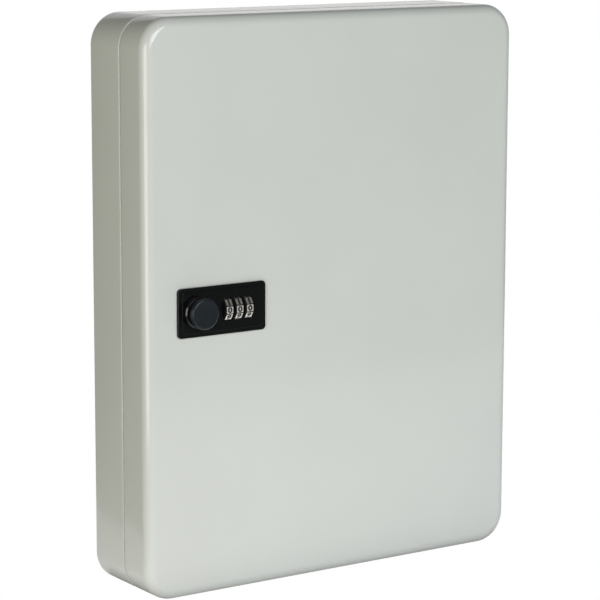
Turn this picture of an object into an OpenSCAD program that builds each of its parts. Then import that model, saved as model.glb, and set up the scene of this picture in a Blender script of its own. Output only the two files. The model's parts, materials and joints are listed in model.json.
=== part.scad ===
// Key cabinet: two pressed steel trays that close like a clamshell, hinged on the right,
// with a three-wheel combination cam lock at the left of the door.
// Origin at the centre of the wall-fixing holes on the back face; +X right, +Z up, front to -Y.

/* [Cabinet] */
// Overall width
cab_w = 280; // [270:1:320]
// Overall height
cab_h = 360; // [350:1:400]
// Radius of the four corners seen from the front
corner_r = 20; // [18:1:24]
// Depth of the body tray, from the wall to its front rim
body_d = 35.8; // [35:0.2:38]
// Depth of the door tray, from its rear rim to its front panel
door_d = 28.8; // [28:0.2:30]
// Open seam between the two rims
seam_gap = 0.4; // [0.4:0.1:0.8]
// Steel sheet thickness
sheet = 1; // [0.8:0.1:1.2]
// Width of the inward flange around each rim
flange_w = 10; // [9:0.5:11]
// Outer bend radius at the back edge of the body
back_edge_r = 2.5; // [2:0.5:4]
// Outer bend radius at the front rim of the body
body_rim_r = 1.5; // [1.5:0.5:3]
// Outer bend radius at the rear rim of the door
door_rim_r = 2; // [2:0.5:6]
// Outer bend radius around the front panel of the door
front_edge_r = 6.5; // [4:0.5:9]

/* [Wall fixing] */
// Distance between the wall holes across the cabinet
wall_pitch_x = 190; // [180:5:190]
// Distance between the wall holes up the cabinet
wall_pitch_z = 300; // [298:1:304]
// Radius of each wall hole
wall_hole_r = 3; // [2.5:0.5:3.5]

/* [Hinges] */
// Length of each hinge
hinge_len = 50; // [40:1:60]
// Height of each hinge's centre above or below the middle
hinge_z = 110; // [90:1:120]
// Radius of the hinge pin
pin_r = 1.2; // [1:0.1:1.3]
// How far the hinge axis stands outside the side wall
hinge_out = 0.6; // [0.5:0.1:0.8]

/* [Hook bars] */
// Number of hooks on one bar
hook_count = 8; // [4:1:8]
// Distance between hooks
hook_pitch = 30; // [24:1:30]
// Height of the top bar above the middle
top_bar_z = 132; // [128:1:134]
// Distance between bars
bar_pitch = 48; // [46:1:50]
// Height of one bar
bar_h = 14; // [14:1:16]
// Radius of the hook wire
hook_wire_r = 1.1; // [0.9:0.1:1.2]

/* [Lock] */
// Sideways place of the lock plate's centre
lock_x = -86.25; // [-90:0.25:-80]
// Height of the lock plate's centre
lock_z = 0; // [-20:0.5:20]
// Width of the lock plate
plate_w = 63.4; // [63:0.1:65]
// Height of the lock plate
plate_h = 30.8; // [30.5:0.1:32]
// How far the plate's rim stands in front of the door
plate_t = 2; // [1.5:0.1:2.5]
// Depth of the lock case behind the door's front
case_d = 29; // [29:0.5:29.5]
// Sideways place of the knob, from the plate's centre
knob_x = -17.35; // [-17.5:0.05:-17]
// Radius of the knob's cap
cap_r = 9.7; // [9:0.1:10]
// How far the knob stands in front of the door
knob_out = 11; // [10.5:0.5:12]
// Sideways place of the first dial, from the plate's centre
first_dial_x = 3.15; // [3.1:0.05:3.2]
// Distance between dials
dial_pitch = 7.35; // [7.35:0.05:7.4]
// Corner radius of the ten-sided dials
dial_r = 8; // [7.9:0.1:8]
// Thickness of a dial
dial_t = 5; // [4.8:0.1:5]
// Length of the cam from the knob's axis to its tip
cam_len = 33; // [31:1:34]

/* [Hidden] */
$fn = 64;
eps = 0.01;
gap = 0.3;

// Depths of the main planes, measured towards -Y from the wall
door_rear = body_d + seam_gap;
door_front = door_rear + door_d;
hinge_x = cab_w / 2 + hinge_out;
hinge_y = -(body_d + seam_gap / 2);

// Hinges
knuckle_gap = 0.3;
pin_fit = 0.05;
pin_head_r = 1.9;
pin_head_h = 0.8;
notch_fit = 0.5;
leaf_t = sheet;
knuckle_r = seam_gap / 2 + sheet + leaf_t;
leaf_in = cab_w / 2 - flange_w;
rivet_r = 1.5;
rivet_head_r = 2.4;
rivet_dome_r = 3;
rivet_dome_h = 1.2;
rivet_x = cab_w / 2 - 6.5;
rivet_dz = 15;
bumper_r = 3;
bumper_clear = 0.15;
bumper_t = seam_gap - bumper_clear;
bumper_in = 6.3;
bumper_dz = 150;

// Hook rails and bars
rail_x = 113;
rail_w = 14;
rail_d = 6;
rail_len = 320;
rail_slot = [5, 3];
rail_slot_pitch = 12;
rail_slots = [-12 : 12];
slot_clear = 5;
bar_len = 236;
bar_t = 1.2;
bar_y = -(sheet + rail_d);
bar_front = bar_y - bar_t;
label_len = 212;
label_h = 6;
label_t = 0.8;
label_dz = 3.5;
hook_dz = -4;
hook_reach = 9;
hook_bend_r = 2.2;
hook_tip = 3.5;
screw_r = 1.6;
screw_head_r = 3;
screw_head_h = 1.8;
screw_in = 3;
cross = [3.6, 0.8];
cross_depth = 1;

// Index card in its holder on the door
card = [120, 170];
card_t = 0.4;
card_x = 40;
holder_edge = 4;
holder_base_t = 0.8;
holder_lip_t = 0.8;
holder_lip = 7;

// Lock plate and case; y runs into the cabinet from the door's front
panel_step = 0.5;
panel_inset = 2.6;
plate_corner_r = 2.4;
spigot = [58.8, 25.8];
spigot_d = 2.2;
cutout = [59.4, 26.4];
case_size = [63, 30.4];
case_wall = 1.6;
post = [27.2, 10.6];
post_r = 2.2;
lock_screw_r = 1;
lock_screw_head_r = 2;
lock_screw_head_h = 1.3;
lock_cross = [2.4, 0.5];
lock_cross_depth = 0.7;

// Knob, spindle and locking bar
collar_r = 10;
collar_h = 1.5;
collar_bore_r = 6.6;
collar_chamfer = 0.5;
neck_r = 6.2;
stem_r = 5.5;
stem_end = 3;
cap_t = 4;
cap_chamfer = 1.2;
cap_under = 0.4;
cap_dish = 0.35;
dish_in = 2;
journal_r = 3;
front_journal_r = 4;
running_fit = 0.05;
lock_bar_y = 11.2;
lock_bar_t = 1.2;
bar_travel = 1.29;
eccentric_r = 3.4;
eccentric_off = bar_travel / 2;
lock_bar_half_h = 3.2;
window_plate = [12, 13];
window_fit = 0.08;
window_room = 1.2;
tooth_t = 0.5;
tooth_w = 1.6;
tooth_tip_r = 2.15;
tooth_x = 2.78;
cam_y = 31.1;
cam_t = 1.5;
cam_w = 13;
cam_tip = 3;
cam_tip_r = 2.4;
square_a = 5;
spacer_r = 6;
thread_r = 2;
nut_r = 4.2;
nut_h = 2.6;
washer_r = 4.4;
washer_t = 0.8;

// Dials and their code sleeves
dial_y = 1.8;
dial_slot_r = 8.35;
dial_slot_w = 6.2;
dial_round_r = 7.88;
dial_groove = 0.35;
sleeve_r = 4;
sleeve_neck_r = 1.8;
axle_r = 1;
disc_r = 2.8;
disc_t = 0.51;
disc_x = 3.42;
gate_w = 2.4;
gate_r = 2;
well_front = -1.3;
well_fit = 0.4;
frame_t = 1;
frame_front = -1;
frame_left = -1;
frame_right = 23.8;
frame_half_h = 8.6;
frame_back = lock_bar_y - 0.6;
detent_t = 0.3;
detent_w = 3;
detent_strip = 2.8;

// Code reset button
button_x = 11;
button_z = -8;
button_r = 2.2;
button_out = 2.5;
button_flange_r = 3.4;
button_flange_t = 1.1;
button_pin_r = 1.2;
button_pin_end = 18.2;
shelf_y = 18.6;
shelf_t = 1.2;
shelf_half_w = 4;
spring_wire_r = 0.25;
spring_r = 2.1;
spring_turns = 6;
spring_sides = 8;
spring_steps = 12;

ROWS = [1 : 6];
DIALS = [1 : 3];

// ---- Shared shapes ----

// Rounded rectangle centred on the origin
module rounded_rect(size, r) {
    square([size[0] - 2 * r, size[1]], center = true);
    square([size[0], size[1] - 2 * r], center = true);
    for (sx = [-1, 1], sz = [-1, 1])
        translate([sx * (size[0] / 2 - r), sz * (size[1] / 2 - r)])
            circle(r);
}

// Upright plate from depth y0 to y1, with a rounded outline in X and Z
module upright_plate(size, r, y0, y1) {
    translate([0, y1, 0])
        rotate([90, 0, 0])
            linear_extrude(y1 - y0)
                rounded_rect(size, r);
}

// Cylinder along Y from y0 to y1
module y_rod(r, y0, y1) {
    translate([0, y1, 0])
        rotate([90, 0, 0])
            cylinder(r = r, h = y1 - y0);
}

// Cylinder along X from x0 to x1
module x_rod(r, x0, x1) {
    translate([x0, 0, 0])
        rotate([0, 90, 0])
            cylinder(r = r, h = x1 - x0);
}

// Box from its lowest to its highest corner
module box(low, high) {
    translate(low)
        cube(high - low);
}

// ---- Trays ----

// Outline across a tray's edge: u outwards, v from the panel to the rim
module edge_outline(width, depth, panel_r, rim_r) {
    square([width - panel_r, panel_r]);
    translate([0, panel_r])
        square([width, depth - panel_r - rim_r]);
    translate([0, depth - rim_r])
        square([width - rim_r, rim_r]);
    translate([width - panel_r, panel_r])
        circle(panel_r);
    translate([width - rim_r, depth - rim_r])
        circle(rim_r);
}

// Sheet section of a tray's edge: panel, side wall and inward flange
module edge_section(depth, panel_r, rim_r) {
    difference() {
        edge_outline(corner_r, depth, panel_r, rim_r);
        translate([0, sheet])
            edge_outline(corner_r - sheet, depth - 2 * sheet, panel_r - sheet, rim_r - sheet);
        translate([-1, depth - 2 * sheet])
            square([corner_r - flange_w + 1, 3 * sheet]);
    }
}

// Whole tray, panel on the XY plane, rim towards +Z
module tray(depth, panel_r, rim_r) {
    half = [cab_w / 2 - corner_r, cab_h / 2 - corner_r];
    translate([-half[0], -half[1], 0])
        cube([2 * half[0], 2 * half[1], sheet]);
    for (side = [0 : 3]) {
        across = side % 2;
        rotate(90 * side)
            translate([half[across], half[1 - across], 0]) {
                rotate([90, 0, 0])
                    linear_extrude(2 * half[1 - across])
                        edge_section(depth, panel_r, rim_r);
                rotate_extrude(angle = 90)
                    edge_section(depth, panel_r, rim_r);
            }
    }
}

// Room for a hinge's knuckle and leaf in a rim, from the hinge axis out
module hinge_notch(rim_r) {
    clear = knuckle_r + notch_fit;
    half_h = hinge_len / 2 + pin_head_h + notch_fit;
    for (sz = [-1, 1])
        translate([hinge_x, hinge_y, sz * hinge_z])
            box([-hinge_out - rim_r - notch_fit, -clear, -half_h], [1, clear, half_h]);
}

module rivet_holes() {
    for (sz = [-1, 1], dz = [-rivet_dz, rivet_dz])
        translate([rivet_x, 0, sz * hinge_z + dz])
            y_rod(rivet_r, -door_rear - 2 * sheet, -body_d + 2 * sheet);
}

module body_shell() color([0.80, 0.82, 0.78]) {
    difference() {
        rotate([90, 0, 0])
            tray(body_d, back_edge_r, body_rim_r);
        for (sx = [-1, 1], sz = [-1, 1])
            translate([sx * wall_pitch_x / 2, 0, sz * wall_pitch_z / 2])
                y_rod(wall_hole_r, -2 * sheet, sheet);
        hinge_notch(body_rim_r);
        rivet_holes();
    }
}

module door_shell() color([0.81, 0.83, 0.79]) {
    difference() {
        translate([0, -door_front, 0])
            rotate([-90, 0, 0])
                tray(door_d, front_edge_r, door_rim_r);
        translate([lock_x, -door_front, lock_z])
            upright_plate(cutout, plate_corner_r, -sheet, 2 * sheet);
        hinge_notch(door_rim_r);
        rivet_holes();
    }
}

// ---- Hinges ----

// Knuckle between two heights, bored for the pin
module knuckle(z0, z1) {
    translate([hinge_x, hinge_y, z0])
        difference() {
            cylinder(r = knuckle_r, h = z1 - z0);
            translate([0, 0, -1])
                cylinder(r = pin_r + pin_fit, h = z1 - z0 + 2);
        }
}

// One leaf with its knuckles; side is 1 for the body's leaf and -1 for the door's
module hinge_leaf(side, spans) {
    outer = hinge_y + side * knuckle_r;
    inner = outer - side * leaf_t;
    y0 = min(outer, inner);
    y1 = max(outer, inner);
    edge = hinge_x - knuckle_r - gap;
    difference() {
        union() {
            box([leaf_in, y0, -hinge_len / 2], [edge, y1, hinge_len / 2]);
            for (span = spans)
                box([edge - eps, y0, span[0]], [hinge_x, y1, span[1]]);
        }
        for (dz = [-rivet_dz, rivet_dz])
            translate([rivet_x, 0, dz])
                y_rod(rivet_r, y0 - 1, y1 + 1);
        for (span = spans)
            translate([hinge_x, hinge_y, span[0] - 1])
                cylinder(r = pin_r + pin_fit, h = span[1] - span[0] + 2);
    }
    for (span = spans)
        knuckle(span[0], span[1]);
}

knuckle_h = hinge_len / 3;
mid_span = [[-knuckle_h / 2, knuckle_h / 2]];
end_spans = [
    [-hinge_len / 2, -knuckle_h / 2 - knuckle_gap],
    [knuckle_h / 2 + knuckle_gap, hinge_len / 2]
];

module body_leaf(z) color([0.72, 0.74, 0.71])
    translate([0, 0, z])
        hinge_leaf(1, end_spans);

module door_leaf(z) color([0.72, 0.74, 0.71])
    translate([0, 0, z])
        hinge_leaf(-1, mid_span);

// Hinge pin with a flat head above and below the knuckles
module hinge_pin(z) color([0.62, 0.63, 0.64])
    translate([hinge_x, hinge_y, z - hinge_len / 2]) {
        cylinder(r = pin_r, h = hinge_len);
        for (end = [-pin_head_h, hinge_len])
            translate([0, 0, end])
                cylinder(r = pin_head_r, h = pin_head_h);
    }

// Rivet along Y: shank flush with the flange, domed head on the leaf; side as for the leaf
module rivet(side) {
    flange_face = hinge_y + side * seam_gap / 2;
    leaf_face = hinge_y + side * knuckle_r;
    y_rod(rivet_r, min(flange_face, leaf_face), max(flange_face, leaf_face));
    translate([0, leaf_face, 0])
        rotate([-90 * side, 0, 0])
            intersection() {
                translate([0, 0, rivet_dome_h - rivet_dome_r])
                    sphere(rivet_dome_r);
                cylinder(r = rivet_head_r, h = rivet_dome_h);
            }
}

module rivets(side) color([0.66, 0.67, 0.68])
    for (sz = [-1, 1], dz = [-rivet_dz, rivet_dz])
        translate([rivet_x, 0, sz * hinge_z + dz])
            rivet(side);

// Rubber dots on the body's flange that the door closes on
module bumpers() color([0.12, 0.12, 0.12])
    for (sx = [-1, 1], sz = [-1, 1])
        translate([sx * (cab_w / 2 - bumper_in), 0, sz * bumper_dz])
            y_rod(bumper_r, -body_d - bumper_t, -body_d);

// ---- Hook bars ----

function bar_z(i) = top_bar_z - (i - 1) * bar_pitch;
function hook_x(k) = (k - (hook_count - 1) / 2) * hook_pitch;

// Slotted upright of channel section, open side to the back wall
module rail(x) color([0.74, 0.75, 0.74])
    translate([x, -sheet, 0])
        difference() {
            box([-rail_w / 2, -rail_d, -rail_len / 2], [rail_w / 2, 0, rail_len / 2]);
            box([-rail_w / 2 + sheet, sheet - rail_d, -rail_len / 2 - 1],
                [rail_w / 2 - sheet, 1, rail_len / 2 + 1]);
            for (k = rail_slots)
                if (min([for (i = ROWS) abs(k * rail_slot_pitch - bar_z(i))]) > slot_clear)
                    translate([0, -rail_d, k * rail_slot_pitch])
                        cube([rail_slot[0], 3, rail_slot[1]], center = true);
            for (i = ROWS)
                translate([0, 0, bar_z(i)])
                    y_rod(screw_r + 0.1, -rail_d - 1, -rail_d + 2);
        }

module hook_bar(i) color([0.78, 0.79, 0.78])
    difference() {
        translate([0, 0, bar_z(i)])
            upright_plate([bar_len, bar_h], 2, bar_front, bar_y);
        for (sx = [-1, 1])
            translate([sx * rail_x, 0, bar_z(i)])
                y_rod(screw_r + 0.1, bar_front - 1, bar_y + 1);
    }

// One hook: a wire out from the bar, bent up to a round tip
module hook() {
    y_rod(hook_wire_r, -hook_reach, 0);
    translate([0, -hook_reach, hook_bend_r])
        rotate([0, 90, 0])
            rotate([0, 0, 180])
                intersection() {
                    rotate_extrude()
                        translate([hook_bend_r, 0])
                            circle(hook_wire_r);
                    translate([-10, 0, -5])
                        cube([10, 10, 10]);
                }
    translate([0, -hook_reach - hook_bend_r, hook_bend_r])
        cylinder(r = hook_wire_r, h = hook_tip);
    translate([0, -hook_reach - hook_bend_r, hook_bend_r + hook_tip])
        sphere(hook_wire_r);
}

module hooks(i) color([0.80, 0.80, 0.78])
    for (k = [0 : hook_count - 1])
        translate([hook_x(k), bar_front, bar_z(i) + hook_dz])
            hook();

module label_strip(i) color([0.95, 0.95, 0.93])
    translate([0, 0, bar_z(i) + label_dz])
        upright_plate([label_len, label_h], 0.6, bar_front - label_t, bar_front);

module bar_screws() color([0.68, 0.69, 0.70])
    for (i = ROWS, sx = [-1, 1])
        translate([sx * rail_x, 0, bar_z(i)])
            difference() {
                union() {
                    y_rod(screw_head_r, bar_front - screw_head_h, bar_front);
                    y_rod(screw_r, bar_front, bar_y + screw_in);
                }
                for (turn = [0, 90])
                    rotate([0, turn, 0])
                        translate([0, bar_front - screw_head_h, 0])
                            cube([cross[0], 2 * cross_depth, cross[1]], center = true);
            }

// ---- Index card ----

module at_card() {
    translate([card_x, -door_front + sheet, 0])
        children();
}

// Thin back with lips down both sides and along the bottom; the card slides in from above
module card_holder() color([0.88, 0.89, 0.90])
    at_card() {
        base = card + [2 * holder_edge, 2 * holder_edge];
        lip_y = holder_base_t + card_t + 0.2;
        difference() {
            upright_plate(base, 3, 0, lip_y + holder_lip_t);
            box([-card[0] / 2 - gap, holder_base_t, -card[1] / 2 - gap],
                [card[0] / 2 + gap, lip_y, base[1]]);
            box([-base[0] / 2 + holder_lip, lip_y - eps, -base[1] / 2 + holder_lip],
                [base[0] / 2 - holder_lip, lip_y + 2, base[1]]);
        }
    }

module index_card() color([0.97, 0.97, 0.95])
    at_card()
        box([-card[0] / 2, holder_base_t, -card[1] / 2],
            [card[0] / 2, holder_base_t + card_t, card[1] / 2]);

// ---- Lock plate and case ----

// The lock's own frame: plate centre on the door's front, y into the cabinet
module at_lock() {
    translate([lock_x, -door_front, lock_z])
        children();
}

module at_knob() {
    translate([lock_x + knob_x, -door_front, lock_z])
        children();
}

module at_dial(n) {
    translate([lock_x + first_dial_x + (n - 1) * dial_pitch, dial_y - door_front, lock_z])
        children();
}

module at_posts() {
    for (sx = [-1, 1], sz = [-1, 1])
        translate([sx * post[0], 0, sz * post[1]])
            children();
}

module lock_face() color([0.05, 0.05, 0.055])
    difference() {
        at_lock() {
            upright_plate([plate_w, plate_h], plate_corner_r, -plate_t, 0);
            upright_plate([plate_w - 2 * panel_inset, plate_h - 2 * panel_inset],
                plate_corner_r - 1, -plate_t - panel_step, -plate_t);
            upright_plate(spigot, plate_corner_r, 0, spigot_d);
        }
        at_knob()
            y_rod(stem_r + running_fit, -plate_t - 1, spigot_d + 1);
        for (n = DIALS)
            at_dial(n)
                x_rod(dial_slot_r, -dial_slot_w / 2, dial_slot_w / 2);
        at_lock() {
            box([frame_left - well_fit, well_front, -frame_half_h - frame_t - well_fit],
                [frame_right + 0.6 + well_fit, spigot_d + 1, frame_half_h + well_fit]);
            at_posts()
                y_rod(lock_screw_r + running_fit, -0.8, spigot_d + 1);
        }
    }

// Ring around the knob's neck
module knob_collar() color([0.10, 0.10, 0.11])
    at_knob()
        translate([0, -plate_t - panel_step, 0])
            rotate([90, 0, 0])
                difference() {
                    union() {
                        cylinder(r = collar_r, h = collar_h - collar_chamfer);
                        translate([0, 0, collar_h - collar_chamfer])
                            cylinder(r1 = collar_r, r2 = collar_r - collar_chamfer,
                                h = collar_chamfer);
                    }
                    translate([0, 0, -1])
                        cylinder(r = collar_bore_r, h = collar_h + 2);
                }

module lock_case() color([0.09, 0.09, 0.10])
    difference() {
        at_lock() {
            difference() {
                upright_plate(case_size, 2.4, sheet, case_d);
                upright_plate(case_size - [2 * case_wall, 2 * case_wall], 1, 0, case_d - case_wall);
            }
            intersection() {
                at_posts()
                    y_rod(post_r, spigot_d, case_d - case_wall + eps);
                upright_plate(case_size - [case_wall, case_wall], 1, 0, case_d);
            }
            box([button_x - shelf_half_w, shelf_y, -case_size[1] / 2 + case_wall - eps],
                [button_x + shelf_half_w, shelf_y + shelf_t, button_z + shelf_half_w]);
        }
        at_lock()
            at_posts()
                y_rod(lock_screw_r + 0.25, 0, case_d + 1);
        at_knob()
            y_rod(journal_r + running_fit, case_d - 5, case_d + 1);
        at_button()
            y_rod(button_r + 0.1, case_d - 5, case_d + 1);
        at_button()
            y_rod(button_pin_r + 0.2, shelf_y - 1, shelf_y + 2);
    }

module lock_screws() color([0.55, 0.56, 0.57])
    at_lock()
        at_posts()
            difference() {
                union() {
                    y_rod(lock_screw_r, -0.5, case_d);
                    y_rod(lock_screw_head_r, case_d, case_d + lock_screw_head_h);
                }
                for (turn = [0, 90])
                    rotate([0, turn, 0])
                        translate([0, case_d + lock_screw_head_h, 0])
                            cube([lock_cross[0], 2 * lock_cross_depth, lock_cross[1]],
                                center = true);
            }

// ---- Knob, spindle, cam ----

// Turned knob: chamfered cap with a shallow dish, neck, and stem through the plate
module knob() color([0.09, 0.10, 0.11])
    at_knob()
        rotate([90, 0, 0])
            difference() {
                rotate_extrude()
                    polygon([
                        [0, -stem_end], [stem_r, -stem_end], [stem_r, plate_t],
                        [stem_r, plate_t + 1.2], [neck_r, plate_t + 1.6],
                        [neck_r, knob_out - cap_t], [cap_r - cap_under, knob_out - cap_t],
                        [cap_r, knob_out - cap_t + cap_under], [cap_r, knob_out - cap_chamfer],
                        [cap_r - cap_chamfer, knob_out], [0, knob_out]
                    ]);
                dish = (pow(cap_r - dish_in, 2) + pow(cap_dish, 2)) / (2 * cap_dish);
                translate([0, 0, knob_out + dish - cap_dish])
                    sphere(dish, $fn = 200);
            }

// Spindle: front journal, eccentric, rear journal, square for the cam, thread
module knob_spindle() color([0.70, 0.69, 0.64])
    at_knob() {
        y_rod(front_journal_r, stem_end, lock_bar_y - gap);
        translate([-eccentric_off, 0, -eccentric_off])
            y_rod(eccentric_r, lock_bar_y - gap, lock_bar_y + lock_bar_t + gap);
        y_rod(journal_r, lock_bar_y + lock_bar_t + gap, case_d + gap);
        translate([0, (case_d + gap + cam_y + cam_t) / 2, 0])
            cube([square_a, cam_y + cam_t - case_d - gap, square_a], center = true);
        y_rod(thread_r, cam_y + cam_t, cam_y + cam_t + washer_t + nut_h + 1);
    }

module square_hole(y0, y1) {
    half = square_a / 2;
    box([-half, y0, -half], [half, y1, half]);
}

module cam_spacer() color([0.60, 0.61, 0.62])
    at_knob()
        difference() {
            y_rod(spacer_r, case_d + gap, cam_y);
            square_hole(case_d, cam_y + 1);
        }

// Cam: round hub with a straight tongue that points up when the door is free
module cam() color([0.70, 0.71, 0.72])
    at_knob()
        difference() {
            union() {
                y_rod(cam_w / 2, cam_y, cam_y + cam_t);
                box([-cam_w / 2, cam_y, 0], [cam_w / 2, cam_y + cam_t, cam_len - cam_tip]);
                translate([0, 0, cam_len - cam_tip])
                    upright_plate([cam_w, 2 * cam_tip], cam_tip_r, cam_y, cam_y + cam_t);
            }
            square_hole(cam_y - 1, cam_y + cam_t + 1);
        }

module cam_washer() color([0.66, 0.67, 0.68])
    at_knob()
        difference() {
            y_rod(washer_r, cam_y + cam_t, cam_y + cam_t + washer_t);
            y_rod(thread_r + 0.1, cam_y, cam_y + cam_t + washer_t + 1);
        }

module cam_nut() color([0.72, 0.72, 0.70])
    at_knob()
        difference() {
            translate([0, cam_y + cam_t + washer_t + nut_h, 0])
                rotate([90, 0, 0])
                    cylinder(r = nut_r, h = nut_h, $fn = 6);
            y_rod(thread_r, cam_y, cam_y + cam_t + washer_t + nut_h + 1);
        }

// Locking bar: window around the eccentric, and a tooth beside each code disc
module locking_bar() color([0.74, 0.73, 0.68]) {
    bar_low = lock_bar_y;
    bar_high = lock_bar_y + lock_bar_t;
    bar_end = first_dial_x + 2 * dial_pitch + tooth_x + tooth_t;
    difference() {
        at_lock() {
            box([knob_x, bar_low, -lock_bar_half_h], [bar_end, bar_high, lock_bar_half_h]);
            translate([knob_x - eccentric_off, 0, 0])
                upright_plate(window_plate, 2, bar_low, bar_high);
        }
        at_knob()
            translate([-eccentric_off, 0, 0])
                box([-eccentric_r - window_fit, bar_low - 1, -eccentric_r - window_room],
                    [eccentric_r + window_fit, bar_high + 1, eccentric_r + window_room]);
    }
    for (n = DIALS)
        at_dial(n)
            box([tooth_x, tooth_tip_r, -tooth_w / 2],
                [tooth_x + tooth_t, bar_low - dial_y + eps, tooth_w / 2]);
}

// ---- Dials ----

// Ten-sided dial wheel with a groove at each edge; a flat faces the front
module dial_wheel(n) color([0.78, 0.74, 0.68])
    at_dial(n)
        difference() {
            intersection() {
                rotate([18, 0, 0])
                    rotate([0, 90, 0])
                        cylinder(r = dial_r, h = dial_t, center = true, $fn = 10);
                x_rod(dial_round_r, -dial_t, dial_t);
            }
            for (k = [0 : 9])
                rotate([18 + 36 * k, 0, 0])
                    translate([0, 0, dial_round_r])
                        cube([dial_t + 1, dial_groove, 2 * dial_groove], center = true);
            x_rod(sleeve_r, -dial_t, dial_t);
        }

// Sleeve inside the dial, with a code disc whose gate faces the locking bar
module code_sleeve(n) color([0.76, 0.66, 0.42])
    at_dial(n)
        difference() {
            union() {
                x_rod(sleeve_r, -dial_t / 2, dial_t / 2);
                x_rod(sleeve_neck_r, dial_t / 2, disc_x);
                x_rod(disc_r, disc_x, disc_x + disc_t);
            }
            x_rod(axle_r + running_fit, -dial_t, disc_x + disc_t + 1);
            box([disc_x - 1, gate_r, -gate_w / 2], [disc_x + disc_t + 1, disc_r + 1, gate_w / 2]);
        }

// U frame that carries the axle: two cheeks joined below the dials
module dial_frame() color([0.72, 0.72, 0.70])
    at_lock()
        difference() {
            union() {
                for (x = [frame_left, frame_right - frame_t])
                    box([x, frame_front, -frame_half_h - frame_t],
                        [x + frame_t, frame_back, frame_half_h]);
                box([frame_left, frame_front, -frame_half_h - frame_t],
                    [frame_right, frame_back, -frame_half_h]);
            }
            translate([0, dial_y, 0])
                x_rod(axle_r, frame_left - 1, frame_right + 1);
        }

module dial_axle() color([0.66, 0.67, 0.68])
    at_lock()
        translate([0, dial_y, 0])
            x_rod(axle_r, frame_left, frame_right + 0.6);

// Leaf spring over the dials: one strip with a finger above each dial
module detent_spring() color([0.60, 0.61, 0.63])
    at_lock() {
        finger_y0 = spigot_d + 1;
        strip_y0 = frame_back - detent_strip;
        box([frame_left, strip_y0, frame_half_h],
            [frame_right, frame_back, frame_half_h + detent_t]);
        for (n = DIALS)
            translate([first_dial_x + (n - 1) * dial_pitch, 0, 0])
                box([-detent_w / 2, finger_y0, frame_half_h],
                    [detent_w / 2, strip_y0 + eps, frame_half_h + detent_t]);
    }

// ---- Code reset button ----

module at_button() {
    translate([lock_x + button_x, -door_front, lock_z + button_z])
        children();
}

module reset_button() color([0.75, 0.20, 0.15])
    at_button() {
        inner = case_d - case_wall;
        y_rod(button_r, inner - 0.1, case_d + button_out);
        y_rod(button_flange_r, inner - 0.1 - button_flange_t, inner - 0.1);
        y_rod(button_pin_r, button_pin_end, inner - 0.1 - button_flange_t);
    }

// Round wire wound from the shelf to the button's flange
module reset_spring() color([0.62, 0.63, 0.65]) {
    y0 = shelf_y + shelf_t + spring_wire_r + 0.05;
    y1 = case_d - case_wall - 0.15 - button_flange_t - spring_wire_r;
    rings = spring_turns * spring_steps;
    lead = atan((y1 - y0) / (spring_turns * 2 * PI * spring_r));
    points = [
        for (k = [0 : rings], s = [0 : spring_sides - 1])
            let (
                turn = 360 * k / spring_steps,
                around = 360 * s / spring_sides,
                out = spring_r + spring_wire_r * cos(around),
                slip = spring_wire_r * sin(around) * sin(lead)
            )
            [
                out * cos(turn) + slip * sin(turn),
                y0 + (y1 - y0) * k / rings + spring_wire_r * sin(around) * cos(lead),
                out * sin(turn) - slip * cos(turn)
            ]
    ];
    walls = [
        for (k = [0 : rings - 1], s = [0 : spring_sides - 1])
            let (a = k * spring_sides + s, b = k * spring_sides + (s + 1) % spring_sides)
            [a, b, b + spring_sides, a + spring_sides]
    ];
    first_end = [for (s = [spring_sides - 1 : -1 : 0]) s];
    last_end = [for (s = [0 : spring_sides - 1]) rings * spring_sides + s];
    at_button()
        polyhedron(points, concat(walls, [first_end, last_end]), convexity = 6);
}

// ---- Nodes ----

body_shell();
rail(-rail_x);  // rail_left
rail(rail_x);  // rail_right
for (i = ROWS) {
    hook_bar(i);
    hooks(i);
    label_strip(i);
}
bar_screws();
bumpers();
body_leaf(hinge_z);  // hinge_upper_body_leaf
body_leaf(-hinge_z);  // hinge_lower_body_leaf
hinge_pin(hinge_z);  // hinge_upper_pin
hinge_pin(-hinge_z);  // hinge_lower_pin
rivets(1);  // body_rivets
door_shell();
door_leaf(hinge_z);  // hinge_upper_door_leaf
door_leaf(-hinge_z);  // hinge_lower_door_leaf
rivets(-1);  // door_rivets
card_holder();
index_card();
lock_face();
knob_collar();
lock_case();
lock_screws();
dial_frame();
dial_axle();
detent_spring();
knob();
knob_spindle();
cam_spacer();
cam();
cam_washer();
cam_nut();
locking_bar();
for (n = DIALS) {
    dial_wheel(n);
    code_sleeve(n);
}
reset_button();
reset_spring();
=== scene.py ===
"""Key cabinet: its looks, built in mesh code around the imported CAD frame.

Metres throughout, in the frame's own axes: +X right, +Z up, the door faces -Y.
"""
import json
import math

import bmesh
import bpy
from mathutils import Matrix, Vector


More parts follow.
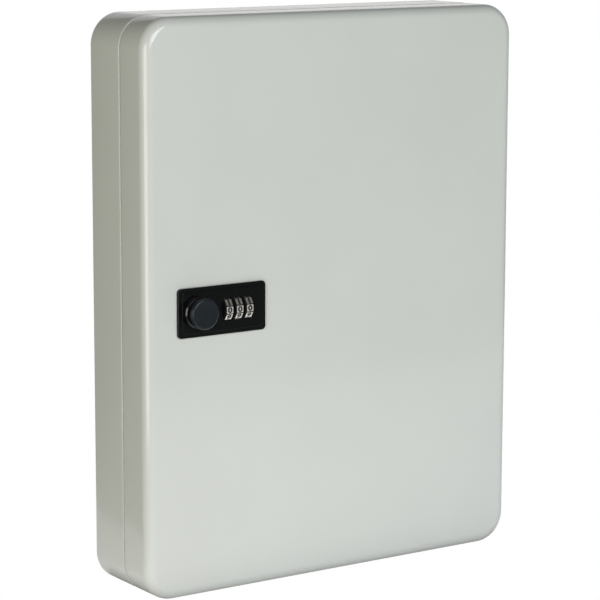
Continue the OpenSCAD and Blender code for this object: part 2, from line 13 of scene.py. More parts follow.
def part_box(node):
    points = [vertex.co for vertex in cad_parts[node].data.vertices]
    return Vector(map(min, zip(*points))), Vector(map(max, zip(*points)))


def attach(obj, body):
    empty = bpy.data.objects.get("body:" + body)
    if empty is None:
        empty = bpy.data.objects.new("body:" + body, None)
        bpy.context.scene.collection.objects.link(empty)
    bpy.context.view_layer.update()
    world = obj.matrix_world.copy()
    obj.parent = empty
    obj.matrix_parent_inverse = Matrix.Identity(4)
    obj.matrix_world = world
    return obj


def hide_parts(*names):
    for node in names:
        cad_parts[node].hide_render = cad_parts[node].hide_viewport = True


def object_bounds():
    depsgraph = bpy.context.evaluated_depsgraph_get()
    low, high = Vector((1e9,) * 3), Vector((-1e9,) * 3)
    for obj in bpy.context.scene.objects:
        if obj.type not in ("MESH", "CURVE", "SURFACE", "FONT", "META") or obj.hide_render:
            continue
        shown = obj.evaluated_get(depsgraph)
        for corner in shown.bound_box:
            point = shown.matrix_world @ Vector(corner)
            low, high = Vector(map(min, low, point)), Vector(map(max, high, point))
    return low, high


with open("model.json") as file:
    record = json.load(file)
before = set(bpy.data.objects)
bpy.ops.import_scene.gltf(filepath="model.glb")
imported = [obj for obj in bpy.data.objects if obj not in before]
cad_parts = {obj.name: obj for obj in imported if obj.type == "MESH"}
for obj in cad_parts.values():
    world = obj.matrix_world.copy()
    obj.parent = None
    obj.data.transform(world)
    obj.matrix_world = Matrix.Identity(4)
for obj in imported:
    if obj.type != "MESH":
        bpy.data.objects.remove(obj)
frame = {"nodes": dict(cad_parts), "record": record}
CAD_LOW, CAD_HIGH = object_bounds()

MM = 0.001
NODES = frame["nodes"]
BODY_OF = {
    node: body
    for body, members in frame["record"]["behaviour"]["bodies"].items()
    for node in members
}
SLOT_OF = {name: node.data.materials[0].name for name, node in NODES.items()}
ROWS = range(1, 7)
DIALS = range(1, 4)
HINGES = ("upper", "lower")


# ---------------------------------------------------------------- places from the frame

def centre_of(node):
    low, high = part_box(node)
    return (low + high) / 2


def outline_of(node):
    """Half the node's width and height seen from the front, and its centre there."""
    low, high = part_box(node)
    half = ((high.x - low.x) / 2, (high.z - low.z) / 2)
    centre = ((high.x + low.x) / 2, (high.z + low.z) / 2)
    return half, centre


# The table printed on the index card
CARD_LOW, CARD_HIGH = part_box("index_card")
CARD_MARGIN = 6 * MM
CARD_HEADER = 10 * MM
CARD_ROWS = 24
CARD_COLUMNS = 2
CARD_BOTTOM = CARD_LOW.z + CARD_MARGIN
CARD_TOP = CARD_HIGH.z - CARD_MARGIN - CARD_HEADER
CARD_PITCH = (CARD_TOP - CARD_BOTTOM) / CARD_ROWS
CARD_COLUMN = (CARD_HIGH.x - CARD_LOW.x - 2 * CARD_MARGIN) / CARD_COLUMNS
ROW_RULE = 0.18 * MM
COLUMN_RULE = 0.25 * MM


# ---------------------------------------------------------------- shader helpers

def add(tree, kind, inputs=None, **settings):
    """A new shader node; an input is a plain value or another node's output."""
    made = tree.nodes.new(kind)
    for key, value in settings.items():
        setattr(made, key, value)
    for key, value in (inputs or {}).items():
        if isinstance(value, bpy.types.NodeSocket):
            tree.links.new(value, made.inputs[key])
        else:
            made.inputs[key].default_value = value
    return made


def shader_of(name, **constants):
    """A new material with its Principled shader's fixed sockets set."""
    made = bpy.data.materials.new(name)
    made.use_nodes = True
    shader = made.node_tree.nodes["Principled BSDF"]
    for key, value in constants.items():
        shader.inputs[key.replace("_", " ")].default_value = value
    return made, made.node_tree, shader


def place(tree, stretch=(1, 1, 1)):
    """Coordinates in the piece's own metres, stretched along its axes."""
    coords = add(tree, "ShaderNodeTexCoord")
    return add(
        tree, "ShaderNodeMapping", {"Vector": coords.outputs["Object"], "Scale": stretch}
    ).outputs["Vector"]


def noise(tree, where, scale, detail):
    return add(
        tree, "ShaderNodeTexNoise", {"Vector": where, "Scale": scale, "Detail": detail}
    ).outputs["Fac"]


def maths(tree, kind, first, second=0.0):
    """The result of one operation on numbers."""
    return add(tree, "ShaderNodeMath", {0: first, 1: second}, operation=kind).outputs[0]


def between(tree, fac, low, high, start=0.3, end=0.7):
    """A number that runs from low to high as fac runs from start to end."""
    return add(
        tree,
        "ShaderNodeMapRange",
        {"Value": fac, "From Min": start, "From Max": end, "To Min": low, "To Max": high},
    ).outputs["Result"]


def tones(tree, fac, dark, light, start=0.3, end=0.7):
    """A colour between two tones, by a colour ramp."""
    ramp = add(tree, "ShaderNodeValToRGB", {"Fac": fac})
    for element, place_at, tone in zip(ramp.color_ramp.elements, (start, end), (dark, light)):
        element.position = place_at
        element.color = (*tone, 1)
    return ramp.outputs["Color"]


def shade_of(colour, factor):
    return tuple(min(1.0, channel * factor) for channel in colour)


def mottled(tree, fac, colour, contrast):
    """The colour, from a little darker to a little lighter."""
    return tones(tree, fac, shade_of(colour, 1 - contrast), shade_of(colour, 1 + contrast))


def bump(tree, height, depth, strength=1.0, after=None):
    inputs = {"Height": height, "Distance": depth, "Strength": strength}
    if after is not None:
        inputs["Normal"] = after
    return add(tree, "ShaderNodeBump", inputs).outputs["Normal"]


# ---------------------------------------------------------------- materials

PAINT = (0.606, 0.632, 0.594)


def powder_coat(name, colour=PAINT, rough=(0.10, 0.15)):
    """Glossy powder coat: orange peel, and the faint long waves of pressed sheet."""
    made, tree, shader = shader_of(name, IOR=1.5)
    where = place(tree)
    cloud = noise(tree, where, 14, 3)
    peel = noise(tree, where, 650, 2)
    waves = noise(tree, where, 9, 1)
    tree.links.new(mottled(tree, cloud, colour, 0.015), shader.inputs["Base Color"])
    tree.links.new(between(tree, peel, *rough), shader.inputs["Roughness"])
    sheet = bump(tree, waves, 0.5 * MM, 0.25)
    tree.links.new(bump(tree, peel, 0.012 * MM, 0.6, sheet), shader.inputs["Normal"])
    return made


def zinc_plate(name, colour, rough, spangle):
    """Zinc plating: crystal patches that differ a little in tone and gloss."""
    made, tree, shader = shader_of(name, Metallic=1.0)
    where = place(tree)
    cells = add(tree, "ShaderNodeTexVoronoi", {"Vector": where, "Scale": spangle})
    patch = add(tree, "ShaderNodeSeparateColor", {"Color": cells.outputs["Color"]})
    level = patch.outputs["Red"]
    colours = tones(tree, level, shade_of(colour, 0.9), shade_of(colour, 1.06), 0, 1)
    tree.links.new(colours, shader.inputs["Base Color"])
    tree.links.new(between(tree, level, *rough, 0, 1), shader.inputs["Roughness"])
    fine = noise(tree, where, 1500, 2)
    tree.links.new(bump(tree, fine, 0.01 * MM, 0.5), shader.inputs["Normal"])
    return made


def textured(
    name, colour, contrast, mottle, rough, grain, depth, metallic=0.0, stretch=(1, 1, 1), **fixed
):
    """A finish with soft mottling, uneven gloss and a fine grain in relief."""
    made, tree, shader = shader_of(name, Metallic=metallic, **fixed)
    where = place(tree, stretch)
    cloud = noise(tree, where, mottle, 4)
    fine = noise(tree, where, grain, 2)
    tree.links.new(mottled(tree, cloud, colour, contrast), shader.inputs["Base Color"])
    tree.links.new(between(tree, fine, *rough), shader.inputs["Roughness"])
    tree.links.new(bump(tree, fine, depth), shader.inputs["Normal"])
    return made


def index_print(name):
    """Card stock with a printed table: a rule for each row and for each column."""
    made, tree, shader = shader_of(name, Roughness=0.75)
    where = place(tree)
    axes = add(tree, "ShaderNodeSeparateXYZ", {"Vector": where})

    def rule(axis, origin, pitch, width):
        """One where a rule of that width runs, repeated at the pitch."""
        shifted = maths(tree, "SUBTRACT", axes.outputs[axis], origin)
        along = maths(tree, "FRACT", maths(tree, "DIVIDE", shifted, pitch))
        return maths(tree, "LESS_THAN", along, width / pitch)

    def inside(axis, start, end):
        """One between the two ends."""
        above = maths(tree, "GREATER_THAN", axes.outputs[axis], start)
        return maths(tree, "MULTIPLY", above, maths(tree, "LESS_THAN", axes.outputs[axis], end))

    first, last = CARD_LOW.x + CARD_MARGIN, CARD_HIGH.x - CARD_MARGIN
    rows = rule("Z", CARD_BOTTOM, CARD_PITCH, ROW_RULE)
    columns = rule("X", first, CARD_COLUMN, COLUMN_RULE)
    across = inside("X", first, last)
    table = maths(tree, "MULTIPLY", across, inside("Z", CARD_BOTTOM, CARD_TOP + ROW_RULE))
    ink = maths(tree, "MULTIPLY", maths(tree, "MAXIMUM", rows, columns), table)
    fibre = noise(tree, where, 900, 4)
    stock = tones(tree, fibre, (0.80, 0.79, 0.74), (0.87, 0.86, 0.82))
    printed = add(tree, "ShaderNodeMix", {"Factor": ink}, data_type="RGBA")
    tree.links.new(stock, printed.inputs["A"])
    printed.inputs["B"].default_value = (0.10, 0.14, 0.20, 1)
    tree.links.new(printed.outputs["Result"], shader.inputs["Base Color"])
    tree.links.new(bump(tree, fibre, 0.02 * MM, 0.5), shader.inputs["Normal"])
    return made


# How the finish of each slot in the record is made. Mottle, grain and spangle are scales per
# metre; a stretch below 1 draws the pattern out along that axis, as brushing does.
FINISHES = {
    "body_paint": (powder_coat, {}),
    "door_paint": (powder_coat, {}),
    "hinge_paint": (powder_coat, {"colour": (0.56, 0.59, 0.55), "rough": (0.24, 0.34)}),
    "bar_paint": (powder_coat, {"colour": (0.58, 0.60, 0.58), "rough": (0.28, 0.40)}),
    "rail_steel": (zinc_plate, {
        "colour": (0.70, 0.71, 0.72), "rough": (0.32, 0.40), "spangle": 260,
    }),
    "screw_zinc": (zinc_plate, {
        "colour": (0.74, 0.75, 0.77), "rough": (0.18, 0.30), "spangle": 900,
    }),
    "hook_wire": (textured, {
        "colour": (0.76, 0.76, 0.75), "contrast": 0.05, "mottle": 500, "rough": (0.14, 0.26),
        "grain": 2600, "depth": 0.006 * MM, "metallic": 1.0, "stretch": (1, 0.2, 1),
    }),
    "label_plastic": (textured, {
        "colour": (0.86, 0.86, 0.83), "contrast": 0.015, "mottle": 60, "rough": (0.32, 0.45),
        "grain": 1800, "depth": 0.01 * MM,
    }),
    "bumper_rubber": (textured, {
        "colour": (0.022, 0.022, 0.022), "contrast": 0.2, "mottle": 500, "rough": (0.6, 0.8),
        "grain": 3200, "depth": 0.03 * MM,
    }),
    "pin_steel": (textured, {
        "colour": (0.62, 0.62, 0.63), "contrast": 0.06, "mottle": 300, "rough": (0.20, 0.36),
        "grain": 2400, "depth": 0.008 * MM, "metallic": 1.0, "stretch": (1, 1, 0.08),
    }),
    "holder_plastic": (textured, {
        "colour": (0.74, 0.77, 0.79), "contrast": 0.015, "mottle": 40, "rough": (0.08, 0.16),
        "grain": 900, "depth": 0.004 * MM,
    }),
    "card_paper": (index_print, {}),
    "lock_black": (textured, {
        "colour": (0.0027, 0.0031, 0.0042), "contrast": 0.12, "mottle": 220,
        "rough": (0.12, 0.20), "grain": 2600, "depth": 0.004 * MM, "Specular_IOR_Level": 0.22,
    }),
    "case_black": (textured, {
        "colour": (0.012, 0.012, 0.013), "contrast": 0.15, "mottle": 200, "rough": (0.38, 0.52),
        "grain": 1700, "depth": 0.03 * MM,
    }),
    "collar_black": (textured, {
        "colour": (0.006, 0.0065, 0.007), "contrast": 0.1, "mottle": 260, "rough": (0.12, 0.18),
        "grain": 2200, "depth": 0.004 * MM,
    }),
    "knob_black": (textured, {
        "colour": (0.008, 0.012, 0.017), "contrast": 0.15, "mottle": 240, "rough": (0.18, 0.26),
        "grain": 2400, "depth": 0.006 * MM, "Specular_IOR_Level": 0.33,
    }),
    "frame_steel": (textured, {
        "colour": (0.66, 0.66, 0.66), "contrast": 0.03, "mottle": 220, "rough": (0.28, 0.36),
        "grain": 1500, "depth": 0.002 * MM, "metallic": 1.0, "stretch": (0.1, 1, 1),
    }),
    "spring_steel": (textured, {
        "colour": (0.50, 0.51, 0.53), "contrast": 0.08, "mottle": 400, "rough": (0.20, 0.32),
        "grain": 2500, "depth": 0.006 * MM, "metallic": 1.0,
    }),
    "spindle_zinc": (textured, {
        "colour": (0.60, 0.59, 0.55), "contrast": 0.08, "mottle": 180, "rough": (0.34, 0.48),
        "grain": 1100, "depth": 0.02 * MM, "metallic": 1.0,
    }),
    "dial_nickel": (textured, {
        "colour": (0.97, 0.92, 0.86), "contrast": 0.03, "mottle": 700, "rough": (0.30, 0.42),
        "grain": 3600, "depth": 0.008 * MM, "metallic": 1.0, "stretch": (0.15, 1, 1),
    }),
    "sleeve_brass": (textured, {
        "colour": (0.74, 0.58, 0.29), "contrast": 0.07, "mottle": 260, "rough": (0.22, 0.36),
        "grain": 2000, "depth": 0.008 * MM, "metallic": 1.0, "stretch": (1, 1, 0.3),
    }),
    "button_red": (textured, {
        "colour": (0.46, 0.03, 0.022), "contrast": 0.06, "mottle": 200, "rough": (0.22, 0.32),
        "grain": 1800, "depth": 0.008 * MM,
    }),
}
MATERIALS = {slot: make(slot, **settings) for slot, (make, settings) in FINISHES.items()}
INK = textured(
    "printing_ink", (0.012, 0.012, 0.013), contrast=0.2, mottle=900, rough=(0.40, 0.55),
    grain=3000, depth=0.003 * MM,
)


# ---------------------------------------------------------------- mesh helpers

TOUCHING = 1e-7  # new vertices closer than this are one
CAD_SEAM = 1e-6  # the same for the CAD shapes, whose faces come apart at their edges
SHARP_EDGE = math.radians(28)  # an edge that turns by more than this is eased
NEARLY_STRAIGHT = math.radians(89.5)  # half the angle at a corner with nothing to round


def fillet(corners, radii, steps=8):
    """An open run of 2-D corners, each inner corner rounded with so many steps a quarter turn."""
    run = [Vector(corners[0])]
    for before, here, after, radius in zip(corners, corners[1:], corners[2:], radii):
        here = Vector(here)
        back = (Vector(before) - here).normalized()
        ahead = (Vector(after) - here).normalized()
        half = back.angle(ahead) / 2
        if radius <= 0 or half > NEARLY_STRAIGHT:
            run.append(here)
            continue
        centre = here + (back + ahead).normalized() * (radius / math.sin(half))
        start = here + back * (radius / math.tan(half)) - centre
        end = here + ahead * (radius / math.tan(half)) - centre
        turn = start.angle_signed(end)
        count = max(2, round(steps * abs(turn) / (math.pi / 2)))
        for k in range(count + 1):
            run.append(centre + Matrix.Rotation(-turn * k / count, 2) @ start)
    run.append(Vector(corners[-1]))
    return run


def bridge(bm, rings, close_run=False):
    """Faces between each pair of neighbouring rings; a ring may be a single vertex."""
    pairs = list(zip(rings, rings[1:]))
    if close_run:
        pairs.append((rings[-1], rings[0]))
    for one, two in pairs:
        for k in range(max(len(one), len(two))):
            corners = [
                one[k % len(one)], one[(k + 1) % len(one)],
                two[(k + 1) % len(two)], two[k % len(two)],
            ]
            bm.faces.new(list(dict.fromkeys(corners)))


def rounded_ring(bm, half, radius, y, centre, steps):
    """Vertices round an upright rounded rectangle at one depth."""
    ring = []
    for quarter, (sx, sz) in enumerate(((1, 1), (-1, 1), (-1, -1), (1, -1))):
        for k in range(steps + 1):
            angle = math.radians(90 * (quarter + k / steps))
            x = centre[0] + sx * (half[0] - radius) + radius * math.cos(angle)
            z = centre[1] + sz * (half[1] - radius) + radius * math.sin(angle)
            ring.append(bm.verts.new((x, y, z)))
    return ring


def rounded_loft(profile, half, corner, least_corner, centre, steps):
    """A closed upright form: profile points are (inset from the outline, depth y)."""
    bm = bmesh.new()
    rings = []
    for inset, y in profile:
        inset_half = (half[0] - inset, half[1] - inset)
        radius = max(corner - inset, least_corner)
        rings.append(rounded_ring(bm, inset_half, radius, y, centre, steps))
    bridge(bm, rings)
    bm.faces.new(rings[0])
    bm.faces.new(rings[-1])
    bmesh.ops.recalc_face_normals(bm, faces=bm.faces)
    return bm


def turned(profile, origin, axis, segments):
    """A closed turned form: profile points are (radius, distance along the axis).

    The profile runs from the axis to the axis, or ends where it began.
    """
    bm = bmesh.new()
    facing = Vector(axis).to_track_quat("Z", "Y").to_matrix()
    rings = []
    for radius, along in profile:
        ring = []
        for k in range(segments if radius > TOUCHING else 1):
            angle = 2 * math.pi * k / segments
            spot = Vector((radius * math.cos(angle), radius * math.sin(angle), along))
            ring.append(bm.verts.new(Vector(origin) + facing @ spot))
        rings.append(ring)
    bridge(bm, rings)
    bmesh.ops.remove_doubles(bm, verts=bm.verts, dist=TOUCHING)
    bmesh.ops.recalc_face_normals(bm, faces=bm.faces)
    return bm


def tube(bm, points, radius, sides=16, tip_steps=5):
    """A round wire along the points, its far end rounded."""
    stations = [(spot, radius) for spot in points[:-1]]
    end = points[-1]
    ahead = (points[-1] - points[-2]).normalized()
    for k in range(tip_steps + 1):
        angle = math.radians(90 * k / tip_steps)
        shrink = max(math.cos(angle), 0.02)
        stations.append((end - ahead * radius * (1 - math.sin(angle)), radius * shrink))
    side = Vector((1, 0, 0))
    rings = []
    for k, (spot, size) in enumerate(stations):
        before = stations[max(k - 1, 0)][0]
        after = stations[min(k + 1, len(stations) - 1)][0]
        along = (after - before).normalized()
        up = along.cross(side).normalized()
        rings.append([
            bm.verts.new(spot + size * (side * math.cos(angle) + up * math.sin(angle)))
            for angle in (2 * math.pi * s / sides for s in range(sides))
        ])
    made_before = len(bm.faces)
    bridge(bm, rings)
    bm.faces.new(rings[0])
    bm.faces.new(rings[-1])
    bm.faces.ensure_lookup_table()
    bmesh.ops.recalc_face_normals(bm, faces=bm.faces[made_before:])


def bevel_sharp(bm, width, segments=2, where=None):
    """Rounds every sharp edge, or only those for which where(edge) is true."""
    edges = [
        edge for edge in bm.edges
        if len(edge.link_faces) == 2 and edge.calc_face_angle(0) > SHARP_EDGE
        and (where is None or where(edge))
    ]
    bmesh.ops.bevel(
        bm, geom=edges, offset=width, offset_type="OFFSET", segments=segments,
        profile=0.5, affect="EDGES", clamp_overlap=True,
    )


def carve(bm, cutters):
    """Cuts the cutters' shapes out of bm, exactly."""
    parts = []
    for shape in (bm, cutters):
        mesh = bpy.data.meshes.new("carving")
        shape.to_mesh(mesh)
        shape.free()
        made = bpy.data.objects.new("carving", mesh)
        bpy.context.scene.collection.objects.link(made)
        parts.append(made)
    modifier = parts[0].modifiers.new("cut", "BOOLEAN")
    modifier.object = parts[1]
    modifier.operation = "DIFFERENCE"
    modifier.solver = "EXACT"
    evaluated = parts[0].evaluated_get(bpy.context.evaluated_depsgraph_get())
    result = bmesh.new()
    result.from_mesh(evaluated.to_mesh())
    for made in parts:
        mesh = made.data
        bpy.data.objects.remove(made)
        bpy.data.meshes.remove(mesh)
    bmesh.ops.remove_doubles(result, verts=result.verts, dist=TOUCHING)
    return result


def cut_box(bm, low, high):
    centre = (Vector(low) + Vector(high)) / 2
    size = Vector(high) - Vector(low)
    bmesh.ops.create_cube(
        bm, size=1, matrix=Matrix.Translation(centre) @ Matrix.Diagonal((*size, 1))
    )


def cut_rod(bm, centre, axis, radius, length, segments=48):
    turn = Vector(axis).to_track_quat("Z", "Y").to_matrix().to_4x4()
    bmesh.ops.create_cone(
        bm, segments=segments, radius1=radius, radius2=radius, depth=length,
        cap_ends=True, matrix=Matrix.Translation(centre) @ turn,
    )


def piece(name, bm, body, slot, replaces=(), material=None, sharp=32):
    """Makes the mesh an object that rides on a body and stands for CAD nodes.

    Edges that turn by more than sharp degrees are shaded as edges.
    """
    mesh = bpy.data.meshes.new(name)
    bm.to_mesh(mesh)
    bm.free()
    mesh.shade_smooth()
    mesh.set_sharp_from_angle(angle=math.radians(sharp))
    mesh.materials.append(material or MATERIALS[slot])
    made = bpy.data.objects.new(name, mesh)
    bpy.context.scene.collection.objects.link(made)
    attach(made, body)
    if replaces:
        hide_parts(*replaces)
    return made


def flat_piece(name, bm, body, slot, replaces):
    """A piece whose large faces are shaded flat right up to their eased edges."""
    made = piece(name, bm, body, slot, replaces, sharp=50)
    even = made.modifiers.new("even_normals", "WEIGHTED_NORMAL")
    even.keep_sharp = True
    even.weight = 100


def formed(node, width):
    """The CAD node's own shape with its coplanar faces joined and its edges eased."""
    bm = bmesh.new()
    bm.from_mesh(NODES[node].data)
    bmesh.ops.remove_doubles(bm, verts=bm.verts, dist=CAD_SEAM)
    bmesh.ops.dissolve_limit(
        bm, angle_limit=math.radians(0.5), verts=bm.verts, edges=bm.edges,
        delimit={"NORMAL"},
    )
    bevel_sharp(bm, width)
    flat_piece(node + "_formed", bm, BODY_OF[node], SLOT_OF[node], [node])


# ---------------------------------------------------------------- cabinet trays

SHEET = 1.0 * MM
CORNER_R = 20 * MM
LEAST_CORNER_R = 1 * MM
FLANGE = 10 * MM
SHEET_EDGE_R = 0.3 * MM
BODY_BEND_R = 2.5 * MM
BODY_RIM_R = 0.8 * MM
DOOR_BEND_R = 6.5 * MM
DOOR_RIM_R = 2 * MM
PAST_BEND = 1.5 * MM  # the panel's flat face starts this far beyond its bend
BEND_STEPS = 14
CORNER_STEPS = 24

KNUCKLE_REACH = 3 * MM
LEAF_ROOM = 0.6 * MM
KNUCKLE_END_ROOM = 0.5 * MM
RIVET_HEAD_R = 2.4 * MM
RIVET_HOLE_R = 1.5 * MM
PLATE_LAP = 2 * MM  # the lock's plate covers the door this far round its cut-out
THROUGH = 8 * MM  # a cut this long, centred on a sheet, passes right through it


def tray(node, panel_y, rim_y, bend_r, rim_r):
    """A pressed tray: panel, bend, side wall, bend and inward flange in one sheet."""
    half, centre = outline_of(node)
    inward = math.copysign(1, rim_y - panel_y)
    inner_y = panel_y + inward * SHEET
    inner_rim = rim_y - inward * SHEET
    flat = bend_r + PAST_BEND
    corners = [
        (flat, panel_y), (0, panel_y), (0, rim_y), (FLANGE, rim_y), (FLANGE, inner_rim),
        (SHEET, inner_rim), (SHEET, inner_y), (flat, inner_y),
    ]
    radii = [bend_r, rim_r, SHEET_EDGE_R, SHEET_EDGE_R, rim_r - SHEET, bend_r - SHEET]
    profile = fillet(corners, radii, BEND_STEPS)
    return rounded_loft(profile, half, CORNER_R, LEAST_CORNER_R, centre, CORNER_STEPS)


def hinge_and_rivet_cutters(rivets_node):
    """Room for the knuckles at both hinges, and the rivets' holes."""
    bm = bmesh.new()
    for level in HINGES:
        low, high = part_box(f"hinge_{level}_pin")
        axis = (low + high) / 2
        cut_box(
            bm,
            (axis.x - KNUCKLE_REACH - LEAF_ROOM, axis.y - KNUCKLE_REACH, low.z - KNUCKLE_END_ROOM),
            (axis.x + KNUCKLE_REACH, axis.y + KNUCKLE_REACH, high.z + KNUCKLE_END_ROOM),
        )
    rivets = centre_of(rivets_node)
    hinge_z = [centre_of(f"hinge_{level}_pin").z for level in HINGES]
    rivet_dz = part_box(rivets_node)[1].z - RIVET_HEAD_R - hinge_z[0]
    for z in hinge_z:
        for dz in (-rivet_dz, rivet_dz):
            cut_rod(bm, (rivets.x, rivets.y, z + dz), (0, 1, 0), RIVET_HOLE_R, THROUGH)
    return bm


def build_body():
    low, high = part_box("body_shell")
    cutters = hinge_and_rivet_cutters("body_rivets")
    mounts = {mount["name"]: mount["dims"] for mount in frame["record"]["mounts"]}
    holes = mounts["wall_holes"]
    hole_x = holes["spacing_x_mm"] * MM / 2
    hole_z = holes["spacing_y_mm"] * MM / 2
    for x in (-hole_x, hole_x):
        for z in (-hole_z, hole_z):
            cut_rod(cutters, (x, high.y, z), (0, 1, 0), holes["hole_r_mm"] * MM, THROUGH)
    bm = carve(tray("body_shell", high.y, low.y, BODY_BEND_R, BODY_RIM_R), cutters)
    piece("body_tray", bm, "cabinet", "body_paint", ["body_shell"])


def build_door():
    low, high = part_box("door_shell")
    cutters = hinge_and_rivet_cutters("door_rivets")
    plate_low, plate_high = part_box("lock_face")
    cut_box(
        cutters,
        (plate_low.x + PLATE_LAP, low.y - THROUGH / 2, plate_low.z + PLATE_LAP),
        (plate_high.x - PLATE_LAP, low.y + THROUGH / 2, plate_high.z - PLATE_LAP),
    )
    bm = carve(tray("door_shell", low.y, high.y, DOOR_BEND_R, DOOR_RIM_R), cutters)
    piece("door_tray", bm, "door", "door_paint", ["door_shell"])


build_body()
build_door()


# ---------------------------------------------------------------- lock plate, knob, collar

def build_lock_plate():
    """A raised face in a thin rim, with a spigot behind it that fills the door's cut-out."""
    low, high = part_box("lock_face")
    door_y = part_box("door_shell")[0].y
    half, centre = outline_of("lock_face")
    rim_y = low.y + 0.5 * MM
    corner_r, spigot_corner_r = 2.6 * MM, 1.2 * MM
    face_inset, spigot_inset = 2.6 * MM, 2.3 * MM
    knob_bore_r, dial_slot_r = 5.6 * MM, 8.35 * MM
    dial_side_room = 0.6 * MM
    corners = [
        (face_inset + 2 * MM, low.y), (face_inset, low.y), (face_inset, rim_y), (0, rim_y),
        (0, door_y), (spigot_inset, door_y), (spigot_inset, high.y),
        (spigot_inset + 1 * MM, high.y),
    ]
    radii = [0.25 * MM, 0, 0.55 * MM, 0.1 * MM, 0, 0.3 * MM]
    plate = rounded_loft(fillet(corners, radii), half, corner_r, spigot_corner_r, centre, 10)
    cutters = bmesh.new()
    cut_rod(cutters, centre_of("knob_collar"), (0, 1, 0), knob_bore_r, 20 * MM, 64)
    for n in DIALS:
        dial_low, dial_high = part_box(f"dial_wheel_{n}")
        slot_width = dial_high.x - dial_low.x + 2 * dial_side_room
        cut_rod(cutters, (dial_low + dial_high) / 2, (1, 0, 0), dial_slot_r, slot_width, 96)
    plate = carve(plate, cutters)

    def on_front(edge):
        return all(abs(vertex.co.y - low.y) < CAD_SEAM for vertex in edge.verts)

    bevel_sharp(plate, 0.22 * MM, 3, on_front)
    flat_piece("lock_plate", plate, "door", "lock_black", ["lock_face"])


def build_knob():
    """A stem, a neck and a cap with a rounded front edge and a slightly dished face."""
    low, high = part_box("knob")
    axis = (low + high) / 2
    length = high.y - low.y
    cap_r = (high.x - low.x) / 2
    cap_back = length - 4 * MM
    stem_r, neck_r = 5.5 * MM, 6.2 * MM
    stem_end, neck_start = 5 * MM, 5.4 * MM
    dish_r = cap_r - 1.9 * MM
    dish_depth = 0.35 * MM
    corners = [
        (0, 0), (stem_r, 0), (stem_r, stem_end), (neck_r, neck_start), (neck_r, cap_back),
        (cap_r, cap_back), (cap_r, length), (dish_r, length), (0, length - dish_depth),
    ]
    radii = [0.3 * MM, 0, 0, 0.3 * MM, 0.5 * MM, 1.3 * MM, 3 * MM]
    bm = turned(fillet(corners, radii), (axis.x, high.y, axis.z), (0, -1, 0), 120)
    piece("knob_turned", bm, "lock_knob", "knob_black", ["knob"])


def build_collar():
    """A chamfered ring on the plate round the knob's neck."""
    low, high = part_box("knob_collar")
    axis = (low + high) / 2
    outer = (high.x - low.x) / 2
    height = high.y - low.y
    bore, chamfer = 6.6 * MM, 0.8 * MM
    start = (outer - 0.6 * MM, 0)
    corners = [
        start, (outer, 0), (outer, height - chamfer), (outer - chamfer, height),
        (bore, height), (bore, 0), start,
    ]
    radii = [0.05 * MM, 0.25 * MM, 0.25 * MM, 0.25 * MM, 0.05 * MM]
    bm = turned(fillet(corners, radii), (axis.x, high.y, axis.z), (0, -1, 0), 96)
    piece("collar_ring", bm, "door", "collar_black", ["knob_collar"])


build_lock_plate()
build_knob()
build_collar()


# ---------------------------------------------------------------- numbers and dials

GLYPH_BOLD = 0.06  # how much the strokes are thickened, in digit heights
GLYPH_RAISE = 0.01
PRINT_DEPTH = 1 * MM  # the depth that one unit of a glyph's own depth becomes
FACING_FRONT = Matrix.Rotation(math.radians(90), 4, "X")
FACING_BACK = Matrix.Rotation(math.radians(180), 4, "Z") @ FACING_FRONT
GLYPHS = {}


def glyph(text):
    """Mesh of a short number, centred, its digits one unit high and flat on XY."""
    if text not in GLYPHS:
        curve = bpy.data.curves.new("glyph", "FONT")
        curve.body = text
        curve.resolution_u = 4
        curve.offset = GLYPH_BOLD
        curve.extrude = GLYPH_RAISE
        holder = bpy.data.objects.new("glyph", curve)
        bpy.context.scene.collection.objects.link(holder)
        evaluated = holder.evaluated_get(bpy.context.evaluated_depsgraph_get())
        mesh = bpy.data.meshes.new_from_object(evaluated)
        bpy.data.objects.remove(holder)
        bpy.data.curves.remove(curve)
        xs = [vertex.co.x for vertex in mesh.vertices]
        ys = [vertex.co.y for vertex in mesh.vertices]
        middle = ((min(xs) + max(xs)) / 2, (min(ys) + max(ys)) / 2)
        height = max(ys) - min(ys)
        mesh.transform(Matrix.Translation((-middle[0], -middle[1], 0)))
        mesh.transform(Matrix.Diagonal((1 / height, 1 / height, 1, 1)))
        mesh.materials.clear()
        GLYPHS[text] = mesh
    return GLYPHS[text]


def numbers(entries):
    """All the entries' numbers in one mesh; each entry is (text, height, matrix)."""
    bm = bmesh.new()
    for text, height, matrix in entries:
        mesh = glyph(text).copy()
        mesh.transform(matrix @ Matrix.Diagonal((height, height, PRINT_DEPTH, 1)))
        bm.from_mesh(mesh)
        bpy.data.meshes.remove(mesh)
    return bm


DIGITS = 10
DIGIT_TURN = 360 / DIGITS
HALF_TURN = math.radians(DIGIT_TURN / 2)
DIAL_CORNER_R = 8 * MM
DIAL_FLAT_R = DIAL_CORNER_R * math.cos(HALF_TURN)
DIAL_BORE_R = 4 * MM
DIAL_EASE = 0.3 * MM
GROOVE_DEPTH = 0.30 * MM
GROOVE_HALF_WIDTH = 0.42 * MM
DIGIT_HEIGHT = 3.9 * MM
BROAD = Matrix.Diagonal((1.3, 1, 1, 1))  # the dials' digits are broader than the font's
PRINT_CLEAR = 0.005 * MM


